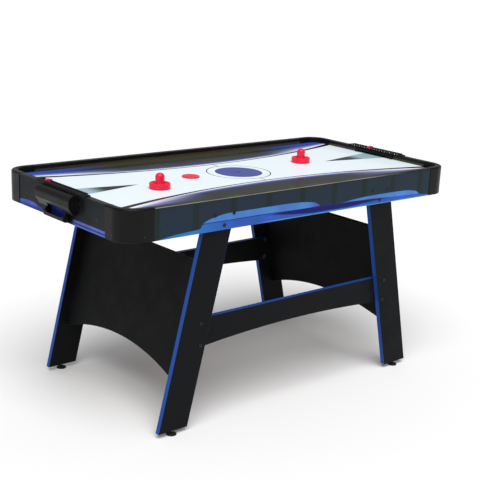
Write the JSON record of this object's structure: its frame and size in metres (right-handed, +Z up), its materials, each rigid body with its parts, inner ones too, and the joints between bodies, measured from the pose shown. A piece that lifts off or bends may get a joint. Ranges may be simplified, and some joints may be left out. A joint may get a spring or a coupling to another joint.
{
  "type": "air hockey table",
  "caption": "Free-standing air hockey table with a printed field, rounded corner caps, slide scorers, goal boxes and splayed board legs joined by arched panels.",
  "frame": {"origin": "on the floor, at the bottom centre of the table", "axes": "+X along the length towards the right end, +Y across to the back side, +Z up"},
  "size_m": [1.586, 0.762, 0.8333],
  "materials": {
    "apron_print": "printed laminate on fibreboard, slate with blue bands",
    "moulded_black": "moulded ABS, fine grain",
    "rail_black": "satin extruded PVC",
    "bumper_bronze": "bronze foil on fibreboard",
    "softwood": "planed pine",
    "field_laminate": "glossy printed laminate on fibreboard",
    "hardboard": "bare hardboard",
    "black_laminate": "black melamine on particle board",
    "blue_banding": "satin PVC edge banding",
    "zinc_steel": "zinc plated",
    "black_steel": "black oxide",
    "foot_black": "moulded nylon",
    "red_plastic": "moulded, semi-gloss",
    "felt": "pressed felt"
  },
  "bodies": {
    "table": {"front_apron": "apron_print", "back_apron": "apron_print", "left_end_apron": "apron_print", "right_end_apron": "apron_print", "front_left_corner_cap": "moulded_black", "front_right_corner_cap": "moulded_black", "back_left_corner_cap": "moulded_black", "back_right_corner_cap": "moulded_black", "front_top_rail": "rail_black", "back_top_rail": "rail_black", "left_top_rail": "rail_black", "right_top_rail": "rail_black", "front_bumper": "bumper_bronze", "back_bumper": "bumper_bronze", "left_bumper": "bumper_bronze", "right_bumper": "bumper_bronze", "corner_blocks": "softwood", "playing_field": "field_laminate", "plenum_battens": "softwood", "plenum_floor": "hardboard", "front_left_leg": "black_laminate", "front_right_leg": "black_laminate", "back_left_leg": "black_laminate", "back_right_leg": "black_laminate", "edge_banding": "blue_banding", "left_end_panel": "black_laminate", "right_end_panel": "black_laminate", "front_stretcher": "black_laminate", "back_stretcher": "black_laminate", "panel_brackets": "black_steel", "left_goal_hood": "moulded_black", "right_goal_hood": "moulded_black", "left_puck_tray": "moulded_black", "right_puck_tray": "moulded_black", "left_goal_frame": "moulded_black", "right_goal_frame": "moulded_black", "left_score_rail": "moulded_black", "right_score_rail": "moulded_black", "foot_inserts": "zinc_steel", "blower_housing": "moulded_black", "blower_motor": "zinc_steel", "power_inlet": "moulded_black", "switch_housing": "moulded_black", "apron_bolts": "black_steel", "stretcher_bolts": "black_steel", "tee_nuts": "zinc_steel", "frame_screws": "black_steel"},
    "left_score_slider": {"left_score_slider": "red_plastic"},
    "right_score_slider": {"right_score_slider": "red_plastic"},
    "front_left_foot": {"front_left_foot": "foot_black"},
    "front_right_foot": {"front_right_foot": "foot_black"},
    "back_left_foot": {"back_left_foot": "foot_black"},
    "back_right_foot": {"back_right_foot": "foot_black"},
    "blower_impeller": {"blower_impeller": "moulded_black"},
    "power_rocker": {"rocker": "moulded_black"},
    "left_striker": {"left_striker": "red_plastic", "left_striker_felt": "felt"},
    "right_striker": {"right_striker": "red_plastic", "right_striker_felt": "felt"},
    "puck": {"puck": "red_plastic"}
  },
  "joints": [
    {"name": "left_score_slide", "type": "slide", "parent": "table", "child": "left_score_slider", "axis": [0, 1, 0], "range_m": [-0.216, 0.03]},
    {"name": "right_score_slide", "type": "slide", "parent": "table", "child": "right_score_slider", "axis": [0, 1, 0], "range_m": [-0.156, 0.089]},
    {"name": "front_left_foot_thread", "type": "slide", "parent": "table", "child": "front_left_foot", "axis": [0, 0, -1], "range_m": [-0.006, 0.01]},
    {"name": "front_right_foot_thread", "type": "slide", "parent": "table", "child": "front_right_foot", "axis": [0, 0, -1], "range_m": [-0.006, 0.01]},
    {"name": "back_left_foot_thread", "type": "slide", "parent": "table", "child": "back_left_foot", "axis": [0, 0, -1], "range_m": [-0.006, 0.01]},
    {"name": "back_right_foot_thread", "type": "slide", "parent": "table", "child": "back_right_foot", "axis": [0, 0, -1], "range_m": [-0.006, 0.01]},
    {"name": "impeller_spin", "type": "hinge", "parent": "table", "child": "blower_impeller", "pos_m": [0, 0, 0.68], "axis": [0, 0, 1], "continuous": true},
    {"name": "rocker_tilt", "type": "hinge", "parent": "table", "child": "power_rocker", "pos_m": [0.52, 0.3765, 0.735], "axis": [0, 0, 1], "range_deg": [0, 16]},
    {"name": "left_striker_slide", "type": "slide", "parent": "table", "child": "left_striker", "axis": [1, 0, 0], "range_m": [-0.2, 0.26]},
    {"name": "right_striker_slide", "type": "slide", "parent": "table", "child": "right_striker", "axis": [1, 0, 0], "range_m": [-0.18, 0.25]},
    {"name": "puck_slide", "type": "slide", "parent": "table", "child": "puck", "axis": [1, 0, 0], "range_m": [-0.4, 0.28]}
  ]
}
